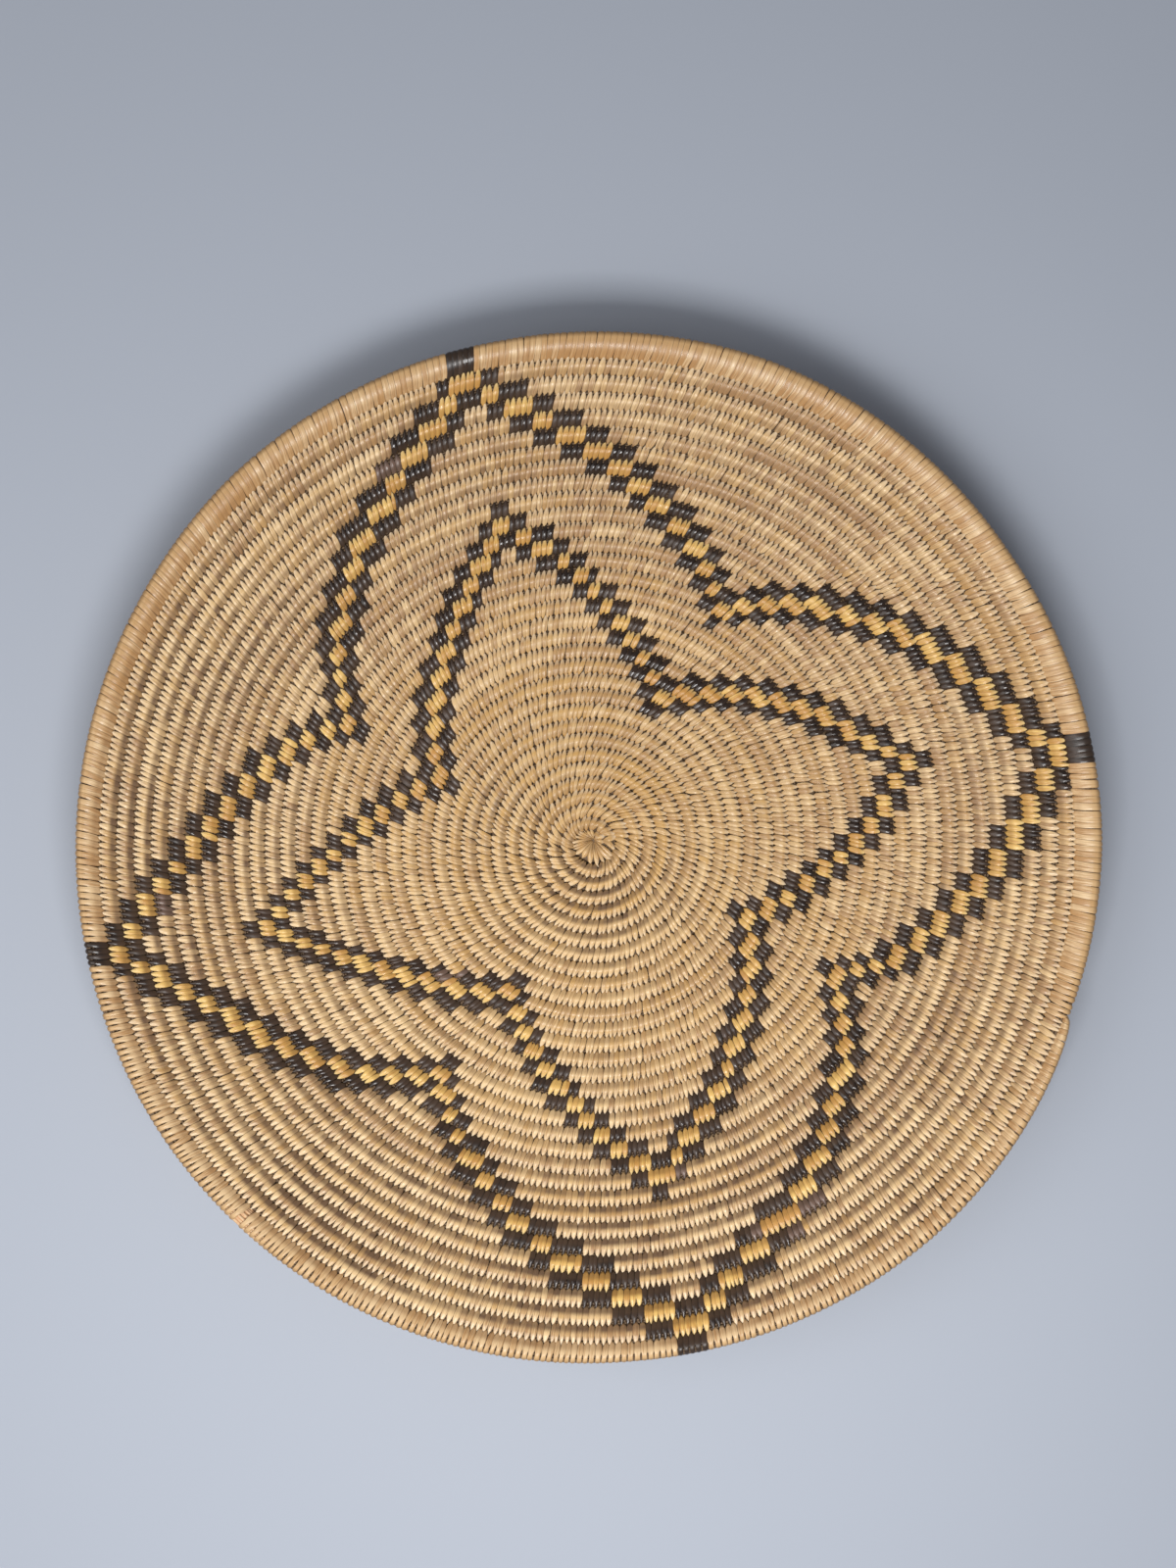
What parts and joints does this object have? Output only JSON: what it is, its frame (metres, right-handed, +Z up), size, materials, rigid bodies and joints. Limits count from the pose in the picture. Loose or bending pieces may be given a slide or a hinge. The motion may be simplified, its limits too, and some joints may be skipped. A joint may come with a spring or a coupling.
{
  "type": "coiled basket tray",
  "caption": "Shallow round coiled basket tray with a flat base, sloping sewn walls, a start knot in the middle and a rim coil that thins to a tail.",
  "frame": {"origin": "middle of the flat underside of the start knot, on the surface that the tray rests on", "axes": "+Z up out of the tray's hollow; +X and +Y as right and up in the reference picture, seen from above"},
  "size_m": [0.3331, 0.3358, 0.0319],
  "materials": {
    "natural_splint": "satin peeled splint",
    "rim_splint": "satin peeled splint, warmer with handling",
    "dark_splint": "satin dyed splint",
    "gold_splint": "satin golden splint",
    "foundation_stem": "matte dry stem"
  },
  "bodies": {
    "root": {"start_knot": "natural_splint", "coil_row_01": "natural_splint", "coil_row_02": "natural_splint", "coil_row_03": "natural_splint", "coil_row_04": "natural_splint", "coil_row_05": "natural_splint", "coil_row_06": "natural_splint", "coil_row_07": "natural_splint", "coil_row_08": "natural_splint", "coil_row_09": "natural_splint", "coil_row_10": "natural_splint", "coil_row_11": "natural_splint", "coil_row_12": "natural_splint", "coil_row_13": "natural_splint", "coil_row_14": "natural_splint", "coil_row_15": "natural_splint", "coil_row_16": "natural_splint", "coil_row_17": "natural_splint", "coil_row_18": "natural_splint", "coil_row_19": "natural_splint", "coil_row_20": "natural_splint", "coil_row_21": "natural_splint", "coil_row_22": "natural_splint", "coil_row_23": "natural_splint", "coil_row_24": "natural_splint", "coil_row_25": "natural_splint", "coil_row_26": "natural_splint", "coil_row_27": "natural_splint", "coil_row_28": "natural_splint", "coil_row_29": "natural_splint", "coil_row_30": "natural_splint", "coil_row_31": "natural_splint", "rim_coil": "rim_splint", "foundation_01": "foundation_stem", "foundation_02": "foundation_stem", "foundation_03": "foundation_stem", "foundation_04": "foundation_stem", "foundation_05": "foundation_stem", "foundation_06": "foundation_stem", "foundation_07": "foundation_stem", "foundation_08": "foundation_stem", "foundation_09": "foundation_stem", "foundation_10": "foundation_stem", "foundation_11": "foundation_stem", "foundation_12": "foundation_stem", "foundation_13": "foundation_stem", "foundation_14": "foundation_stem", "foundation_15": "foundation_stem", "foundation_16": "foundation_stem"}
  },
  "joints": []
}
